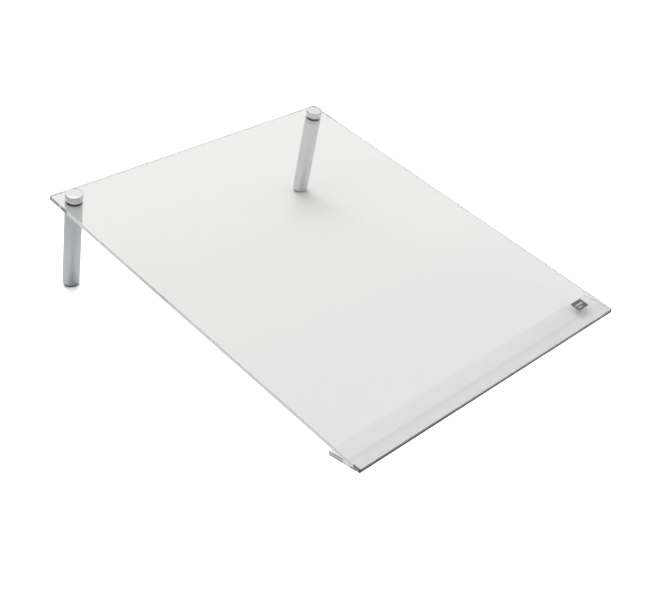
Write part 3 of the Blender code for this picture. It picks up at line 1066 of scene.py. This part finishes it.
# %% [markdown]
# ## The printed mark
# Near the front right corner lies a small dark print with rounded corners and two plain pale bars.
# It could be painted on the sheet's finish, but the exported mesh would lose that shape, so it is a
# real slab a few hundredths of a millimetre thick. It starts just inside the sheet, so that no two
# faces lie on each other.

# %% Print the patch
PRINT_ROUND, PRINT_ROUND_STEPS = 0.0011, 8
PRINT_SUNK, PRINT_THICKNESS, PRINT_EDGE, PRINT_EDGE_STEPS = 0.00001, 0.00005, 0.00002, 2


def make_print():
    """A thin slab with round corners on the sheet's upper face."""
    loop, outward = rounded_outline(PRINT_LOW, PRINT_HIGH, PRINT_ROUND, PRINT_ROUND_STEPS)
    profile = edge_profile(SHEET_THICKNESS - PRINT_SUNK, SHEET_THICKNESS + PRINT_THICKNESS,
                           PRINT_EDGE, PRINT_EDGE_STEPS)
    rows = rim(loop, outward, profile)
    numbers = numbered(rows)
    faces = grid_faces(numbers).tolist() + [numbers[0].tolist(), numbers[-1].tolist()]
    return closed_piece("printed_patch", on_slope(rows.reshape(-1, 3)), faces, (PRINT_INK,))


patch = make_print()
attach(patch, "root")

# %% [markdown]
# ## Light
# The light is that of a room with soft boxes: grey sides, a bright upper half and a box overhead.
# Area lamps would show as hard shapes in the metal. A sky with smooth steps does not. One formula
# serves twice: numpy adds up the light on the desk with it, and the world's nodes use it. Rays that
# only look at the sky see white. A wide sun lamp behind the board throws soft shadows forward.

# %% Sky of soft boxes
SKY_SIDES, SKY_UPPER, SKY_TOP, SKY_GLOW = 0.50, 1.28, 0.75, 0.15
SKY_RISE = (0.35, 0.60)
TOP_RISE = (0.86, 0.93)
GLOW_WAY = np.array((0.450, 0.541, 0.710))
GLOW_EDGE = (math.cos(math.radians(34.0)), math.cos(math.radians(10.0)))
KEY_WAY, KEY_SHARE, KEY_SPREAD = np.array((0.340, 0.480, 0.809)), 0.40, math.radians(44.0)


def smooth(value, low, high):
    """The same smooth step as the Map Range node's, for arrays."""
    share = np.clip((value - low) / (high - low), 0.0, 1.0)
    return share * share * (3.0 - 2.0 * share)


def sky_light(height, towards_glow, steps):
    """Light from a direction, by its height and how far it points at the glow behind the board.

    Formula: the grey of the sides, plus smooth steps up to a bright upper half, a box and the glow.
    """
    return (SKY_SIDES + (SKY_UPPER - SKY_SIDES) * steps(height, *SKY_RISE)
            + SKY_TOP * steps(height, *TOP_RISE) + SKY_GLOW * steps(towards_glow, *GLOW_EDGE))


def light_on_desk(steps=400):
    """Light that a white desk would send back: the sky's mean, weighted by height."""
    height, turn = np.meshgrid((np.arange(steps) + 0.5) / steps,
                               (np.arange(steps) + 0.5) * math.tau / steps)
    flat = np.sqrt(1.0 - height * height)
    way = np.stack((flat * np.cos(turn), flat * np.sin(turn), height), axis=-1)
    return float((2.0 * height * sky_light(height, way @ GLOW_WAY, smooth)).mean())


DESK_LIGHT = light_on_desk() / (1.0 - KEY_SHARE)
print("light on the desk: %.3f" % DESK_LIGHT)


def make_sky():
    """The sky as nodes, and plain white for rays that only look at it."""
    world = bpy.data.worlds.new("studio")
    bpy.context.scene.world = world
    finish = Finish(world)
    way = finish.node("ShaderNodeTexCoord").outputs["Generated"]
    soft = sky_light(finish.split(way)[2], finish.along(way, GLOW_WAY), finish.steps)
    looked_at = finish.steps(finish.ray("Is Camera Ray") + finish.ray("Is Transmission Ray"),
                             0.0, 1.0)
    strength = looked_at + (1 - looked_at) * soft
    light = finish.node("ShaderNodeBackground", {}, {"Color": WHITE, "Strength": strength})
    finish.show(light, "ShaderNodeOutputWorld")


make_sky()


# %% Key lamp behind the board
def make_key():
    """A wide sun lamp. Neither the metal nor the sheet may mirror it, so such rays miss it."""
    data = bpy.data.lights.new("key", "SUN")
    data.energy = KEY_SHARE * DESK_LIGHT * math.pi / KEY_WAY[2]
    data.angle = KEY_SPREAD
    item = put_in_scene("key", data)
    item.rotation_euler = Vector(KEY_WAY.tolist()).to_track_quat("Z", "Y").to_euler()
    item.visible_glossy = False
    item.visible_transmission = False
    print("key lamp: %.3f" % data.energy)


make_key()

# %% [markdown]
# ## Desk
# The ground is white and still takes the soft shadow under the sheet. A desk with light of its own
# would wash the shadow out. So the desk is diffuse, and its colour goes by the kind of ray that
# meets it: plain for the light that it sends on, paler in the metal and through the plastic, and
# bright enough for white where it is looked at straight.

# %% Make the desk
DESK_RADIUS, DESK_SIDES = 12.0, 96
DESK_PLAIN = 0.82
DESK_FOR_RAYS = (("Is Glossy Ray", 0.90), ("Is Transmission Ray", 0.892), ("Is Camera Ray", 1.80))


def make_desk():
    """A wide flat disc at the feet's level: a ring of points about the object, filled."""
    ring = np.insert(DESK_RADIUS * directions(full_turn(DESK_SIDES)), 2, 0.0, axis=1)
    mesh = bpy.data.meshes.new("desk")
    mesh.from_pydata(ring.tolist(), [], [list(range(DESK_SIDES))])
    finish = new_finish("desk_white")
    tone = colour(*[DESK_PLAIN / DESK_LIGHT] * 3)
    for kind, grey in DESK_FOR_RAYS:
        tone = finish.blend(finish.ray(kind), tone, colour(*[grey / DESK_LIGHT] * 3))
    mesh.materials.append(finish.show(finish.node("ShaderNodeBsdfDiffuse", {}, {"Color": tone})))
    return put_in_scene("desk", mesh)


make_desk()

# %% [markdown]
# ## Camera and limits
# A ray that enters a clear edge runs through the sheet as in a light pipe, and meets its two faces
# some forty times. Cycles gives up after a few bounces and calls the rest black, so the edges would
# look like ink. A higher limit costs little, because only edges use it.

# %% Let light run through the sheet
LIGHT_PIPE_BOUNCES = 64
scene = bpy.context.scene
scene.view_settings.view_transform = "Standard"
scene.cycles.max_bounces = LIGHT_PIPE_BOUNCES
scene.cycles.glossy_bounces = LIGHT_PIPE_BOUNCES
scene.cycles.transmission_bounces = LIGHT_PIPE_BOUNCES

# %% [markdown]
# The camera was worked out from the photograph's corners and edges: where it stands, how long its
# lens is, and how it is tilted. It looks down on the near left corner of the board.

# %% Camera
CAMERA_AZIMUTH = math.radians(-44.9897)
CAMERA_ELEVATION = math.radians(29.3258)
CAMERA_ROLL = math.radians(-0.0645)
CAMERA_DISTANCE = 0.97582
CAMERA_TARGET = np.array((-0.029701, -0.033930, 0.029673))
FOCAL_PIXELS, IMAGE_WIDTH, SENSOR_WIDTH = 1149.89, 660, 36.0
NEAREST, FARTHEST = 0.01, 100.0


def make_camera():
    """A camera whose own axes are right, up and back, worked out from its angles."""
    a, e, r = CAMERA_AZIMUTH, CAMERA_ELEVATION, CAMERA_ROLL
    back = np.array((math.sin(a) * math.cos(e), -math.cos(a) * math.cos(e), math.sin(e)))
    level_right = np.array((math.cos(a), math.sin(a), 0.0))
    level_up = np.cross(back, level_right)
    right = level_right * math.cos(r) + level_up * math.sin(r)
    up = level_up * math.cos(r) - level_right * math.sin(r)
    place = CAMERA_TARGET + back * CAMERA_DISTANCE
    data = bpy.data.cameras.new("camera")
    data.sensor_width = SENSOR_WIDTH
    data.lens = FOCAL_PIXELS * SENSOR_WIDTH / IMAGE_WIDTH
    data.clip_start, data.clip_end = NEAREST, FARTHEST
    item = put_in_scene("camera", data)
    pose = np.eye(4)
    pose[:3] = np.stack((right, up, back, place), axis=-1)
    item.matrix_world = Matrix(pose.tolist())
    return item


scene.camera = make_camera()
print("camera lens: %.2f mm" % scene.camera.data.lens)
